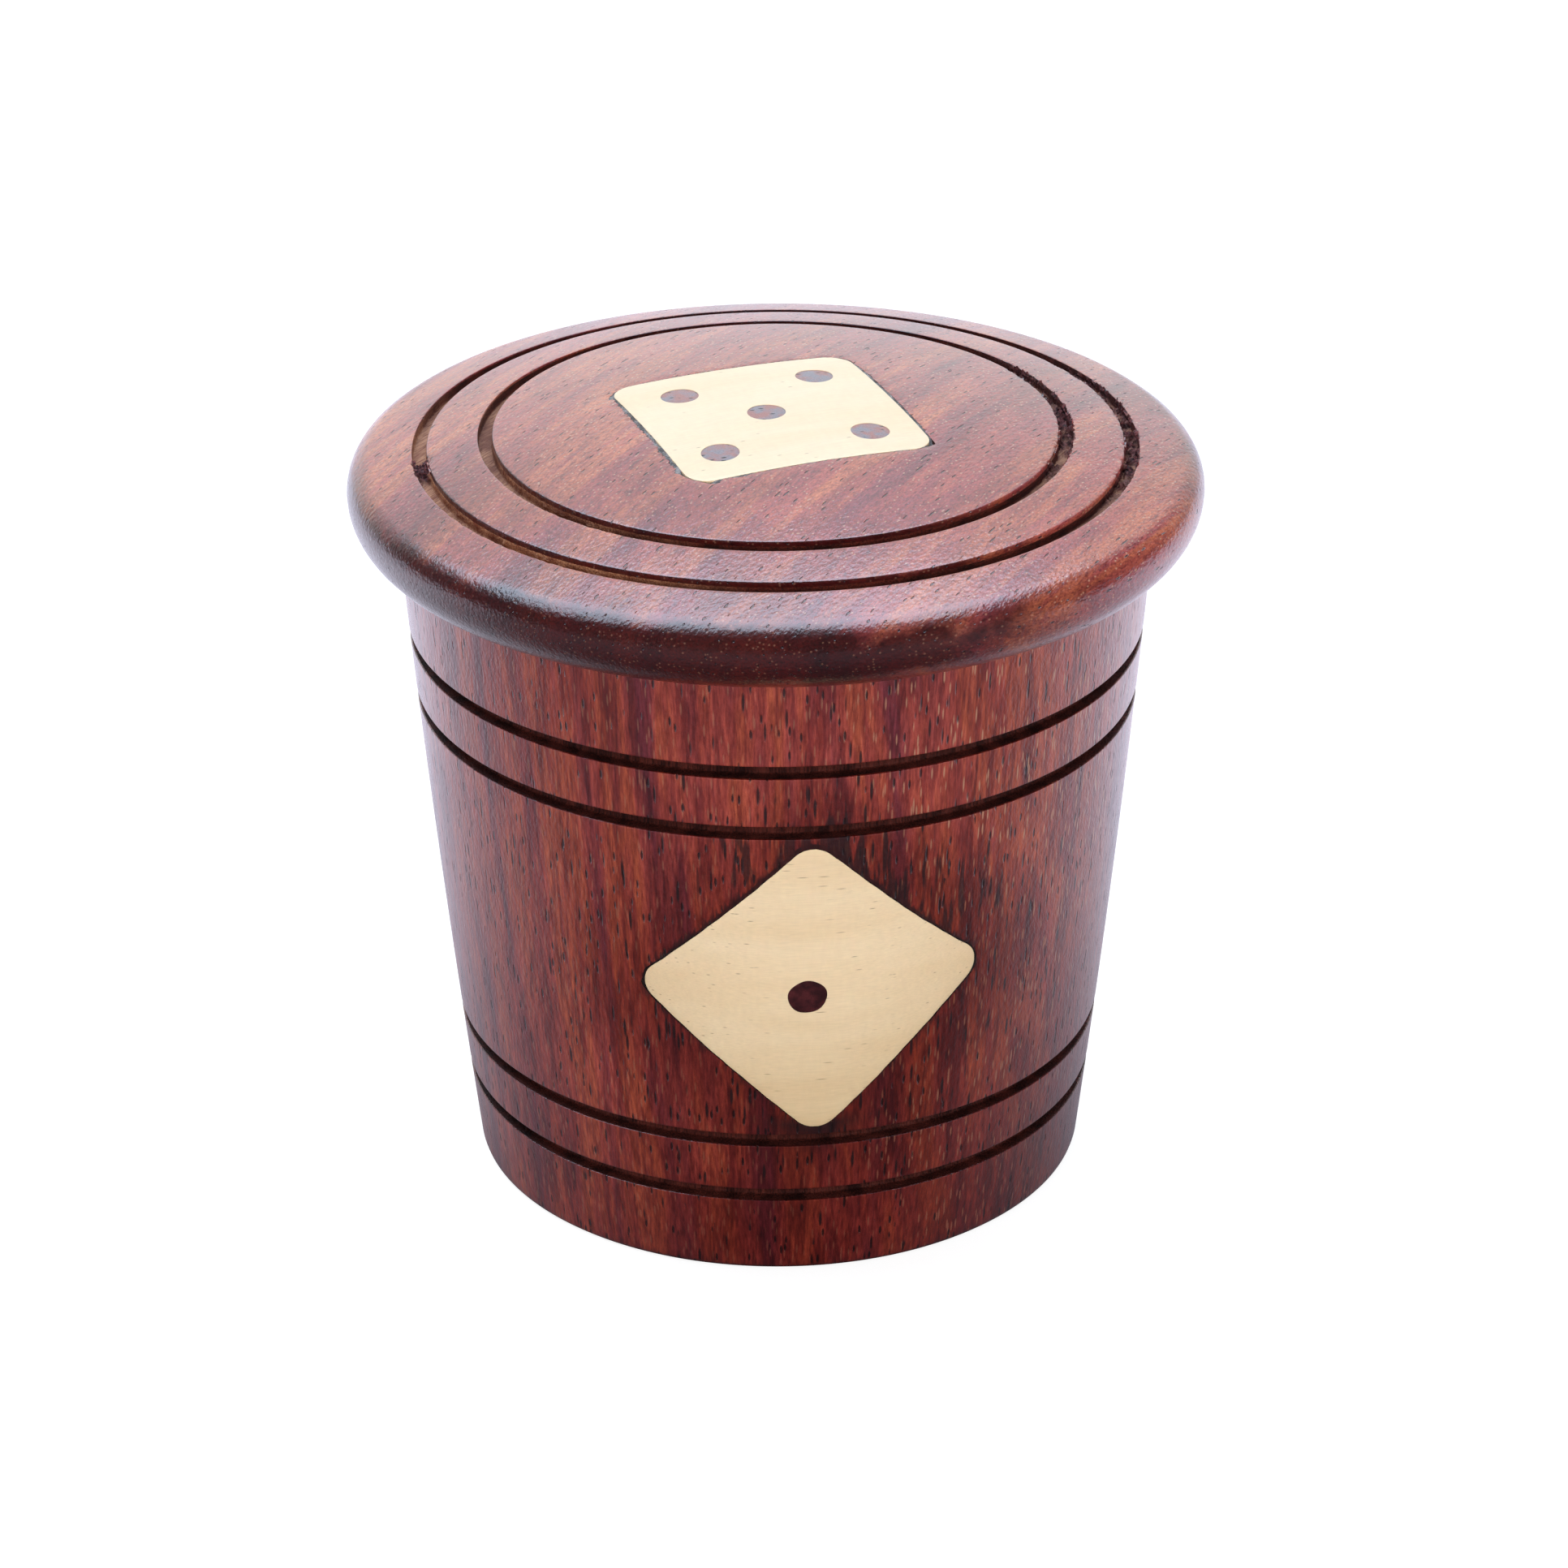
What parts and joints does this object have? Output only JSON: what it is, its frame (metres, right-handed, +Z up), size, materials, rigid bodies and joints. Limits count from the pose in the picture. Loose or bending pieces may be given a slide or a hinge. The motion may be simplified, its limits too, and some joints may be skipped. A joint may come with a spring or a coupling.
{
  "type": "turned dice box with lift-off lid",
  "caption": "Turned wooden cup with ring grooves and a crowned plug lid, holding loose dice; pale die faces are inlaid in lid and wall.",
  "frame": {"origin": "centre of the cup's flat base", "axes": "+Z up along the turning axis; the cup's inlaid die face looks along -Y"},
  "size_m": [0.0808, 0.0808, 0.0764],
  "materials": {
    "rosewood_cup": "satin lacquer, grain upright",
    "rosewood_lid": "satin lacquer, face grain",
    "maple_plate": "satin lacquer",
    "dark_filler": "matte wood filler",
    "walnut_plugs": "satin lacquer",
    "maple_dice": "waxed, painted spots"
  },
  "bodies": {
    "cup_body": {"cup": "rosewood_cup", "front_plate": "maple_plate", "front_plate_filler": "dark_filler", "front_plate_plug": "walnut_plugs"},
    "lid_body": {"lid": "rosewood_lid", "lid_plate": "maple_plate", "lid_plate_filler": "dark_filler", "lid_plate_plugs": "walnut_plugs"},
    "die_1_body": {"die_1": "maple_dice"},
    "die_2_body": {"die_2": "maple_dice"},
    "die_3_body": {"die_3": "maple_dice"},
    "die_4_body": {"die_4": "maple_dice"},
    "die_5_body": {"die_5": "maple_dice"}
  },
  "joints": [
    {"name": "lid_lift", "type": "slide", "parent": "cup_body", "child": "lid_body", "axis": [0, 0, 1], "range_m": [0, 0.08]},
    {"name": "die_1_lift", "type": "slide", "parent": "cup_body", "child": "die_1_body", "axis": [0, 0, 1], "range_m": [0, 0.036]},
    {"name": "die_2_lift", "type": "slide", "parent": "cup_body", "child": "die_2_body", "axis": [0, 0, 1], "range_m": [0, 0.036]},
    {"name": "die_3_lift", "type": "slide", "parent": "cup_body", "child": "die_3_body", "axis": [0, 0, 1], "range_m": [0, 0.036]},
    {"name": "die_4_lift", "type": "slide", "parent": "cup_body", "child": "die_4_body", "axis": [0, 0, 1], "range_m": [0, 0.036]},
    {"name": "die_5_lift", "type": "slide", "parent": "cup_body", "child": "die_5_body", "axis": [0, 0, 1], "range_m": [0, 0.036]}
  ]
}
